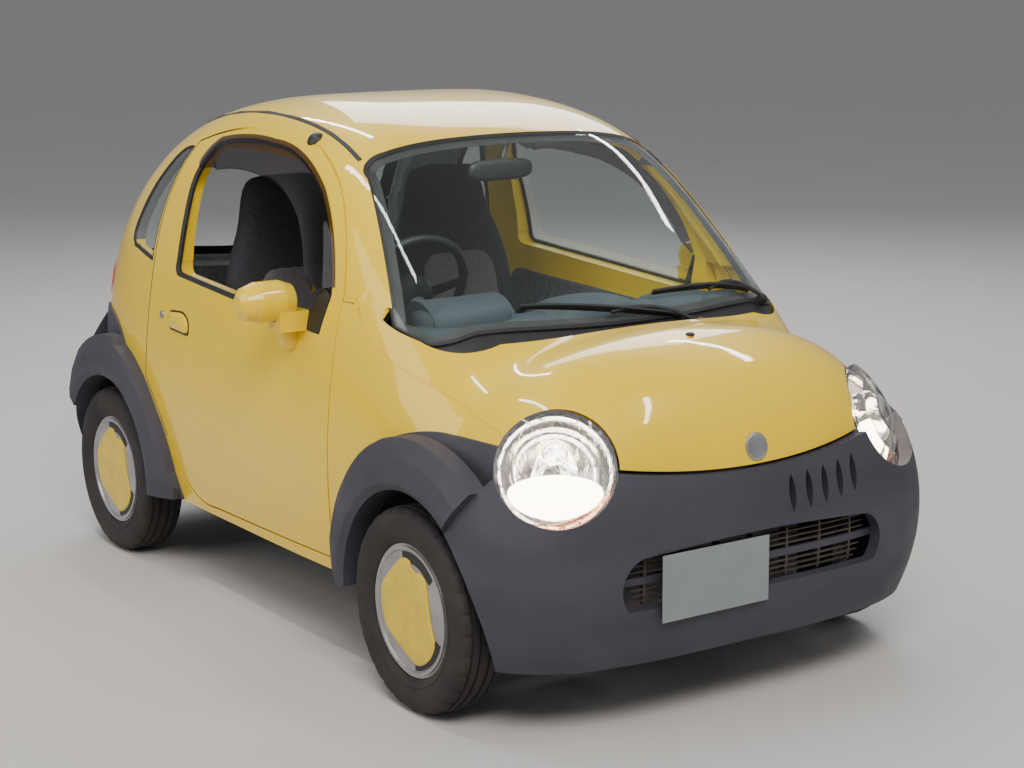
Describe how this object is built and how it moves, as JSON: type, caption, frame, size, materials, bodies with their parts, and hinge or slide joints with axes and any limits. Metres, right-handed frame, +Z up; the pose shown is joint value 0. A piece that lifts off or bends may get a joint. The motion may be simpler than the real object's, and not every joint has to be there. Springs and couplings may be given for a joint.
{
  "type": "two-seat kei car",
  "caption": "Small two-seat city car with round yellow body, dark bumpers and arches, hinged doors, bonnet and rear glass, steering and rolling wheels.",
  "frame": {"origin": "on the ground under the middle of the car's length and width", "axes": "+Z up, front toward -Y, the car's left side toward +X"},
  "size_m": [1.664, 2.7368, 1.4513],
  "materials": {
    "body_paint": "gloss, warm yellow",
    "underbody": "dull dark sealer",
    "clear_glass": "clear, faint green",
    "black_plastic": "fine grain",
    "bumper_plastic": "moulded, dark blue-grey",
    "lamp_lens": "clear, polished",
    "lamp_reflector": "bright reflector",
    "tail_lens": "red lens",
    "cast_metal": "rough cast",
    "chassis_metal": "satin black",
    "dash_plastic": "grained, blue-grey",
    "seat_fabric": "woven, dark grey",
    "plate_paint": "plain, blank",
    "tyre_rubber": "worn matt",
    "wheel_steel": "silver paint",
    "cover_paint": "gloss, yellow and silver"
  },
  "bodies": {
    "root": {"roof_panel": "body_paint", "side_panels": "body_paint", "tail_panel": "body_paint", "windscreen_pillars": "body_paint", "floor_pan": "underbody", "windscreen": "clear_glass", "quarter_glass": "clear_glass", "front_wings": "body_paint", "cowl": "black_plastic", "front_bumper": "bumper_plastic", "rear_bumper": "bumper_plastic", "front_flares": "bumper_plastic", "rear_flares": "bumper_plastic", "lamp_bowls": "lamp_reflector", "lamp_lenses": "lamp_lens", "engine": "cast_metal", "front_subframe": "chassis_metal", "rear_axle": "chassis_metal", "dashboard": "dash_plastic", "seat_left": "seat_fabric", "seat_right": "seat_fabric", "tail_lamps": "tail_lens", "grille": "black_plastic", "number_plates": "plate_paint", "exhaust": "chassis_metal"},
    "door_body_left": {"door_left": "body_paint", "mirror_left": "body_paint", "door_glass_left": "clear_glass"},
    "door_body_right": {"door_right": "body_paint", "mirror_right": "body_paint"},
    "bonnet_body": {"bonnet": "body_paint"},
    "hatch_body": {"hatch_glass": "clear_glass"},
    "steering_body": {"steering_wheel": "black_plastic"},
    "hub_left": {"knuckle_left": "cast_metal"},
    "hub_right": {"knuckle_right": "cast_metal"},
    "wheel_front_left": {"tyre_front_left": "tyre_rubber", "rim_front_left": "wheel_steel", "cover_front_left": "cover_paint"},
    "wheel_front_right": {"tyre_front_right": "tyre_rubber", "rim_front_right": "wheel_steel", "cover_front_right": "cover_paint"},
    "wheel_rear_left": {"tyre_rear_left": "tyre_rubber", "rim_rear_left": "wheel_steel", "cover_rear_left": "cover_paint"},
    "wheel_rear_right": {"tyre_rear_right": "tyre_rubber", "rim_rear_right": "wheel_steel", "cover_rear_right": "cover_paint"}
  },
  "joints": [
    {"name": "door_left_hinge", "type": "hinge", "parent": "root", "child": "door_body_left", "pos_m": [0.688, -0.43, 0.6], "axis": [0, 0, -1], "range_deg": [0, 65]},
    {"name": "door_right_hinge", "type": "hinge", "parent": "root", "child": "door_body_right", "pos_m": [-0.688, -0.43, 0.6], "axis": [0, 0, 1], "range_deg": [0, 65]},
    {"name": "bonnet_hinge", "type": "hinge", "parent": "root", "child": "bonnet_body", "pos_m": [0, -0.488, 0.968], "axis": [-1, 0, 0], "range_deg": [0, 50]},
    {"name": "hatch_hinge", "type": "hinge", "parent": "root", "child": "hatch_body", "pos_m": [0, 0.808, 1.363], "axis": [1, 0, 0], "range_deg": [0, 75]},
    {"name": "steering_turn", "type": "hinge", "parent": "root", "child": "steering_body", "pos_m": [-0.315, -0.235, 0.93], "axis": [0, 0.8829, 0.4695], "range_deg": [-540, 540]},
    {"name": "steer_left", "type": "hinge", "parent": "root", "child": "hub_left", "pos_m": [0.596, -0.875, 0.26], "axis": [0, 0, 1], "range_deg": [-33, 33]},
    {"name": "steer_right", "type": "hinge", "parent": "root", "child": "hub_right", "pos_m": [-0.596, -0.875, 0.26], "axis": [0, 0, 1], "range_deg": [-33, 33]},
    {"name": "spin_front_left", "type": "hinge", "parent": "hub_left", "child": "wheel_front_left", "pos_m": [0.655, -0.875, 0.26], "axis": [1, 0, 0], "continuous": true},
    {"name": "spin_rear_left", "type": "hinge", "parent": "root", "child": "wheel_rear_left", "pos_m": [0.645, 0.925, 0.26], "axis": [1, 0, 0], "continuous": true},
    {"name": "spin_front_right", "type": "hinge", "parent": "hub_right", "child": "wheel_front_right", "pos_m": [-0.655, -0.875, 0.26], "axis": [1, 0, 0], "continuous": true},
    {"name": "spin_rear_right", "type": "hinge", "parent": "root", "child": "wheel_rear_right", "pos_m": [-0.645, 0.925, 0.26], "axis": [1, 0, 0], "continuous": true}
  ],
  "couplings": [
    {"joint": "steer_left", "follows": "steering_turn", "ratio": 0.061105},
    {"joint": "steer_right", "follows": "steering_turn", "ratio": 0.061105}
  ]
}
